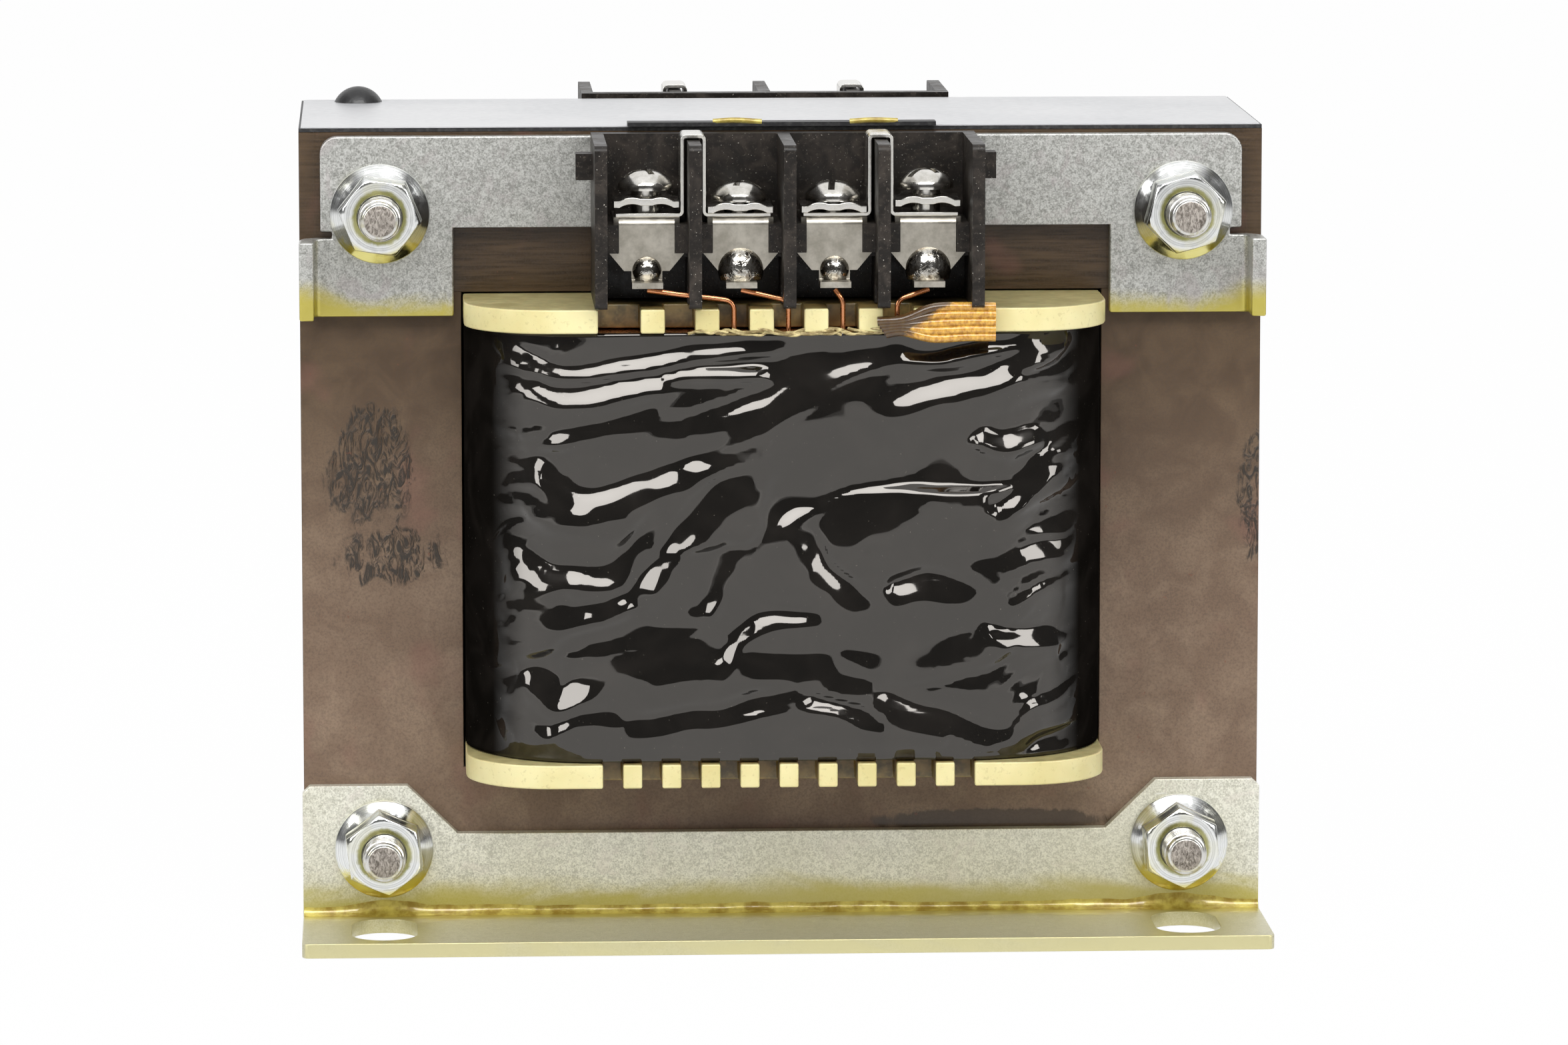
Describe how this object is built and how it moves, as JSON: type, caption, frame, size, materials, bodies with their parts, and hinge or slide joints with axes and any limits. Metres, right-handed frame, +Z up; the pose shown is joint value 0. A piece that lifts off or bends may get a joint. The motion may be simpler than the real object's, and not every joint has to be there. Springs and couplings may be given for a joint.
{
  "type": "control transformer",
  "caption": "Open-frame control transformer: bolted E-I core, wrapped coil on a combed bobbin, two barrier terminal blocks with links, upper clamps and slotted angle feet.",
  "frame": {"origin": "centre of the mounting plane under the two feet, below the middle of the core", "axes": "+Z up from the mounting plane, +X along the core's width and the terminal rows, -Y towards the front (linked primary) terminals shown in the picture"},
  "size_m": [0.1336, 0.092, 0.1142],
  "materials": {
    "core_steel": "oxide-coated silicon steel, brown-grey, varnish dipped, darker and glossier on the upper yoke",
    "galvanised_steel": "zinc plated sheet with fine spangle, scuffs and yellow varnish pooled at the bends",
    "zinc_fastener": "bright zinc with a faint yellow tint",
    "fibre_board": "thin black insulating board",
    "label": "plain white satin film label, bare of print",
    "bobbin_nylon": "cream moulded nylon, slightly glossy, with a parting line",
    "black_film": "thin glossy polyester film, strongly wrinkled",
    "insulation": "insulating paper",
    "copper_wire": "enamelled copper",
    "black_plastic": "moulded phenolic, satin, with scuffs and dust",
    "nickel_plate": "nickel plated steel",
    "solder": "bright tin solder",
    "varnished_sleeve": "woven glass sleeve soaked in amber varnish",
    "black_sealant": "cured black sealant"
  },
  "bodies": {
    "root": {"e_laminations": "core_steel", "i_laminations": "core_steel", "core_bolts": "zinc_fastener", "flange_nuts": "zinc_fastener", "bolt_sleeves": "insulation", "front_foot": "galvanised_steel", "rear_foot": "galvanised_steel", "front_clamp": "galvanised_steel", "rear_clamp": "galvanised_steel", "top_cover": "fibre_board", "top_label": "label", "edge_strip": "fibre_board", "bobbin": "bobbin_nylon", "primary_winding": "copper_wire", "winding_insulation": "insulation", "secondary_winding": "copper_wire", "outer_wrap": "black_film", "lead_sleeves": "varnished_sleeve", "sealant_dab": "black_sealant", "front_terminal_block": "black_plastic", "front_terminal_plates": "nickel_plate", "front_terminal_links": "nickel_plate", "front_pressure_plates": "nickel_plate", "front_terminal_screws": "nickel_plate", "front_solder_joints": "solder", "front_leads": "copper_wire", "rear_terminal_block": "black_plastic", "rear_terminal_plates": "nickel_plate", "rear_terminal_links": "nickel_plate", "rear_pressure_plates": "nickel_plate", "rear_terminal_screws": "nickel_plate", "rear_solder_joints": "solder", "rear_leads": "copper_wire"}
  },
  "joints": []
}
